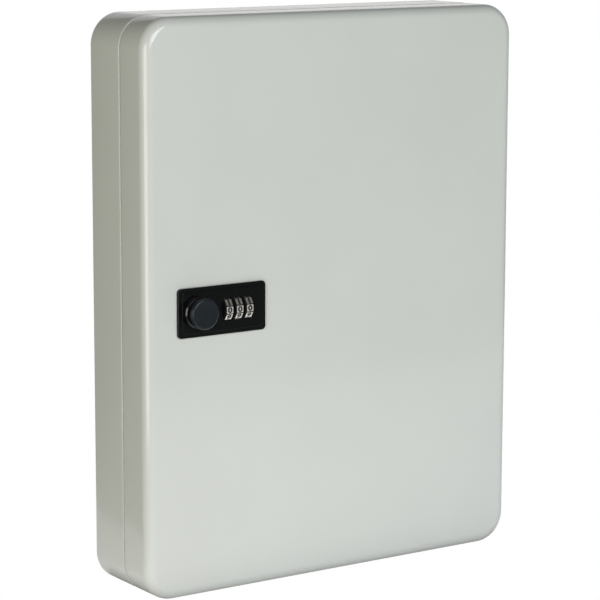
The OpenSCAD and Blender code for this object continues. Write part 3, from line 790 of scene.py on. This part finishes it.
def dial_outline():
    """Ten flats round the axle with a groove after each, the first one facing the front."""
    half_flat = DIAL_CORNER_R * math.sin(HALF_TURN) - GROOVE_HALF_WIDTH
    groove = Matrix.Rotation(HALF_TURN, 2) @ Vector((DIAL_FLAT_R - GROOVE_DEPTH, 0))
    corners = [Vector((DIAL_FLAT_R, -half_flat)), Vector((DIAL_FLAT_R, half_flat)), groove]
    turns = [Matrix.Rotation(math.radians(DIGIT_TURN * k), 2) for k in range(DIGITS)]
    return [turn @ corner for turn in turns for corner in corners]


def build_dial(n):
    """A wheel with bare flats and bore, dark grooves and sides, and a number on each flat."""
    low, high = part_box(f"dial_wheel_{n}")
    centre = (low + high) / 2
    half_t = (high.x - low.x) / 2
    outline = dial_outline()
    bm = bmesh.new()

    def ring(x, inset=0.0, radius=None):
        """The outline at one place along the axle, or a plain circle of that radius."""
        made = []
        for corner in outline:
            spot = corner.normalized() * (radius or corner.length - inset)
            made.append(bm.verts.new((centre.x + x, centre.y - spot.x, centre.z + spot.y)))
        return made

    rings = [
        ring(-half_t, radius=DIAL_BORE_R), ring(-half_t, DIAL_EASE), ring(-half_t + DIAL_EASE),
        ring(half_t - DIAL_EASE), ring(half_t, DIAL_EASE), ring(half_t, radius=DIAL_BORE_R),
    ]
    bridge(bm, rings, close_run=True)
    bmesh.ops.recalc_face_normals(bm, faces=bm.faces)
    for face in bm.faces:
        out = Vector((0, *(face.calc_center_median() - centre).yz))
        flat = face.normal.dot(out.normalized()) > 0.97
        in_bore = out.length < DIAL_BORE_R + 1 * MM
        face.material_index = 0 if flat or in_bore else 1
    wheel = piece(
        f"dial_{n}_wheel", bm, f"dial_{n}", "dial_nickel", [f"dial_wheel_{n}"], sharp=15
    )
    wheel.data.materials.append(INK)
    out = Matrix.Translation((0, -DIAL_FLAT_R - PRINT_CLEAR, 0))
    entries = []
    for digit in range(DIGITS):
        turn = Matrix.Rotation(math.radians(-DIGIT_TURN * digit), 4, "X")
        spot = Matrix.Translation(centre) @ turn @ out
        entries.append((str(digit), DIGIT_HEIGHT, spot @ FACING_FRONT @ BROAD))
    piece(f"dial_{n}_numbers", numbers(entries), f"dial_{n}", "dial_nickel", material=INK)


for n in DIALS:
    build_dial(n)


# ---------------------------------------------------------------- hooks, strips and card

HOOKS = 8
WIRE_R = 1.1 * MM
WIRE_BEND_R = 2.2 * MM
LABEL_DIGIT_HEIGHT = 3.4 * MM
CARD_DIGIT_HEIGHT = 2.6 * MM
CARD_DIGIT_INSET = 5 * MM


def hook_places(row):
    """Where the row's hooks stand along X."""
    low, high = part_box(f"hooks_{row}")
    first, last = low.x + WIRE_R, high.x - WIRE_R
    return [first + (last - first) * k / (HOOKS - 1) for k in range(HOOKS)]


def build_hooks(row):
    """Bent wires, each one tube with a rounded tip."""
    low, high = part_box(f"hooks_{row}")
    base = low.z + WIRE_R
    front = low.y + WIRE_R
    spine = fillet([(high.y, base), (front, base), (front, high.z)], [WIRE_BEND_R])
    bm = bmesh.new()
    for x in hook_places(row):
        tube(bm, [Vector((x, y, z)) for y, z in spine], WIRE_R)
    piece(f"hook_wires_{row}", bm, "cabinet", "hook_wire", [f"hooks_{row}"])


def build_label_numbers(row):
    """The hooks' numbers, printed on the bar's strip above each hook."""
    low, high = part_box(f"label_strip_{row}")
    entries = []
    for k, x in enumerate(hook_places(row)):
        spot = Matrix.Translation((x, low.y, (low.z + high.z) / 2))
        number = str((row - 1) * HOOKS + k + 1)
        entries.append((number, LABEL_DIGIT_HEIGHT, spot @ FACING_FRONT))
    piece(f"label_numbers_{row}", numbers(entries), "cabinet", "label_plastic", material=INK)


def build_card_numbers():
    """One number for each hook at the left of its row on the index card."""
    entries = []
    for column in range(CARD_COLUMNS):
        x = CARD_HIGH.x - CARD_MARGIN - column * CARD_COLUMN - CARD_DIGIT_INSET
        for k in range(CARD_ROWS):
            spot = Matrix.Translation((x, CARD_HIGH.y, CARD_TOP - (k + 0.5) * CARD_PITCH))
            number = str(column * CARD_ROWS + k + 1)
            entries.append((number, CARD_DIGIT_HEIGHT, spot @ FACING_BACK))
    piece("index_card_numbers", numbers(entries), "door", "card_paper", material=INK)


for row in ROWS:
    build_hooks(row)
    build_label_numbers(row)
build_card_numbers()


# ---------------------------------------------------------------- CAD shapes kept, edges eased

# How much of each node's edges is rounded off, in millimetres
EASED = {
    "rail_left": 0.25, "rail_right": 0.25, "bar_screws": 0.35, "bumpers": 0.06,
    "card_holder": 0.25, "lock_case": 0.5, "lock_screws": 0.25, "dial_frame": 0.15,
    "knob_spindle": 0.2, "cam_spacer": 0.3, "cam": 0.3, "cam_washer": 0.15, "cam_nut": 0.3,
    "locking_bar": 0.1, "dial_axle": 0.1, "detent_spring": 0.06, "reset_button": 0.35,
}
EASED.update({f"hinge_{level}_pin": 0.2 for level in HINGES})
EASED.update({f"hinge_{level}_body_leaf": 0.15 for level in HINGES})
EASED.update({f"hinge_{level}_door_leaf": 0.15 for level in HINGES})
EASED.update({f"hook_bar_{row}": 0.25 for row in ROWS})
EASED.update({f"label_strip_{row}": 0.15 for row in ROWS})
EASED.update({f"code_sleeve_{n}": 0.08 for n in DIALS})

for node, ease_mm in EASED.items():
    formed(node, ease_mm * MM)


def dress_cad_nodes():
    """Gives every CAD node the material of its slot."""
    for name, node in NODES.items():
        slot = node.material_slots[0]
        slot.link = "OBJECT"
        slot.material = MATERIALS[SLOT_OF[name]]


dress_cad_nodes()


# ---------------------------------------------------------------- stage and world

WHITE = (1, 1, 1, 1)
BACKGROUND = 1.0  # brightness of floor and world to the camera
FLOOR_SPAN = ((-0.22, -0.58), (1.0, 0.25))
FLOOR_GAP = 0.5 * MM
FLOOR_GLOW = 0.47
CONTACT_SHADE = 8 * MM  # the floor's glow fades out over this width round the cabinet
AMBIENT = 0.265
AMBIENT_TINT = (0.90, 1.0, 0.78, 1)
OVERHEAD = 0.15  # the share of the ambient light that comes from overhead
FADE_FROM, FADE_TO = 0.1, 0.6  # heights on the sky's unit sphere between which it fades


def white_to_camera(tree, emitter, output, otherwise):
    """Ends a tree: plain white for the camera's rays, the other shader for all others."""
    rays = add(tree, "ShaderNodeLightPath")
    white = add(tree, emitter, {"Color": WHITE, "Strength": BACKGROUND})
    mix = add(tree, "ShaderNodeMixShader", {0: rays.outputs["Is Camera Ray"]})
    tree.links.new(otherwise.outputs[0], mix.inputs[1])
    tree.links.new(white.outputs[0], mix.inputs[2])
    tree.links.new(mix.outputs[0], add(tree, output).inputs["Surface"])


def floor_paper(name):
    """White paper that reflects and, away from the cabinet, glows a little."""
    made = bpy.data.materials.new(name)
    made.use_nodes = True
    tree = made.node_tree
    tree.nodes.clear()
    paper = add(tree, "ShaderNodeBsdfDiffuse", {"Color": (0.8, 0.8, 0.8, 1)})
    where = add(tree, "ShaderNodeNewGeometry").outputs["Position"]
    axes = add(tree, "ShaderNodeSeparateXYZ", {"Vector": where})
    middle, half = (CAD_HIGH + CAD_LOW) / 2, (CAD_HIGH - CAD_LOW) / 2
    beyond = []
    for axis, centre, extent in (("X", middle.x, half.x), ("Y", middle.y, half.y)):
        offset = maths(tree, "SUBTRACT", axes.outputs[axis], centre)
        beyond.append(maths(tree, "SUBTRACT", maths(tree, "ABSOLUTE", offset), extent))
    away = maths(tree, "MAXIMUM", *beyond)
    level = between(tree, away, 0, FLOOR_GLOW, 0, CONTACT_SHADE)
    glow = add(tree, "ShaderNodeEmission", {"Color": WHITE, "Strength": level})
    lit = add(tree, "ShaderNodeAddShader", {0: paper.outputs[0], 1: glow.outputs[0]})
    white_to_camera(tree, "ShaderNodeEmission", "ShaderNodeOutputMaterial", lit)
    return made


def build_floor():
    """A sheet of white paper just under the cabinet."""
    low, high = FLOOR_SPAN
    middle = ((low[0] + high[0]) / 2, (low[1] + high[1]) / 2, CAD_LOW.z - FLOOR_GAP)
    spread = Matrix.Diagonal((high[0] - low[0], high[1] - low[1], 1, 1))
    bm = bmesh.new()
    bmesh.ops.create_grid(
        bm, x_segments=8, y_segments=8, size=0.5, matrix=Matrix.Translation(middle) @ spread
    )
    mesh = bpy.data.meshes.new("floor")
    bm.to_mesh(mesh)
    bm.free()
    mesh.materials.append(floor_paper("floor_paper"))
    made = bpy.data.objects.new("floor", mesh)
    bpy.context.scene.collection.objects.link(made)


def build_world():
    """Dim light from all round, least from overhead, that the camera sees as white."""
    world = bpy.data.worlds.new("studio")
    bpy.context.scene.world = world
    world.use_nodes = True
    tree = world.node_tree
    tree.nodes.clear()
    coords = add(tree, "ShaderNodeTexCoord")
    axes = add(tree, "ShaderNodeSeparateXYZ", {"Vector": coords.outputs["Generated"]})
    glow = between(tree, axes.outputs["Z"], AMBIENT, AMBIENT * OVERHEAD, FADE_FROM, FADE_TO)
    dim = add(tree, "ShaderNodeBackground", {"Color": AMBIENT_TINT, "Strength": glow})
    white_to_camera(tree, "ShaderNodeBackground", "ShaderNodeOutputWorld", dim)


build_floor()
build_world()


# ---------------------------------------------------------------- lights and camera

CAMERA_AT = (-0.8962, -1.3509, 0.2729)
CAMERA_YAW = 34.04  # degrees from +Y towards +X
CAMERA_PITCH = -9.97
CAMERA_ROLL = 0.13
CAMERA_LENS = 150.66  # millimetres, on a sensor as wide as SENSOR
SENSOR = 36


def softbox(name, azimuth, elevation, distance, size, radiance, colour):
    """A rectangular light aimed at the cabinet; azimuth 0 is in front, 90 to its right."""
    a, e = math.radians(azimuth), math.radians(elevation)
    toward = Vector((math.sin(a) * math.cos(e), -math.cos(a) * math.cos(e), math.sin(e)))
    light = bpy.data.lights.new(name, "AREA")
    light.shape = "RECTANGLE"
    light.size, light.size_y = size
    light.color = colour
    light.energy = radiance * math.pi * size[0] * size[1]
    made = bpy.data.objects.new(name, light)
    made.location = (CAD_LOW + CAD_HIGH) / 2 + toward * distance
    made.rotation_mode = "QUATERNION"
    made.rotation_quaternion = toward.to_track_quat("Z", "Y")
    made.visible_camera = False
    bpy.context.scene.collection.objects.link(made)


def build_camera():
    """A long lens to the left of the front, a little above the cabinet."""
    yaw, pitch = math.radians(CAMERA_YAW), math.radians(CAMERA_PITCH)
    forward = Vector((
        math.sin(yaw) * math.cos(pitch), math.cos(yaw) * math.cos(pitch), math.sin(pitch)
    ))
    roll = Matrix.Rotation(math.radians(CAMERA_ROLL), 3, "Z").to_quaternion()
    camera = bpy.data.objects.new("camera", bpy.data.cameras.new("camera"))
    camera.data.sensor_width = SENSOR
    camera.data.lens = CAMERA_LENS
    camera.location = CAMERA_AT
    camera.rotation_mode = "QUATERNION"
    camera.rotation_quaternion = forward.to_track_quat("-Z", "Y") @ roll
    bpy.context.scene.collection.objects.link(camera)
    bpy.context.scene.camera = camera


softbox(
    "key", azimuth=0, elevation=20, distance=1.6, size=(0.88, 0.7),
    radiance=6.65, colour=(0.89, 0.905, 0.99),
)
softbox(
    "left_panel", azimuth=-56, elevation=2, distance=1.15, size=(0.65, 0.75),
    radiance=3.95, colour=(1.0, 0.92, 0.89),
)
softbox(
    "backdrop", azimuth=146, elevation=14, distance=1.6, size=(2.2, 1.3),
    radiance=0.70, colour=(0.98, 0.93, 1.0),
)
build_camera()
bpy.context.scene.view_settings.view_transform = "Standard"
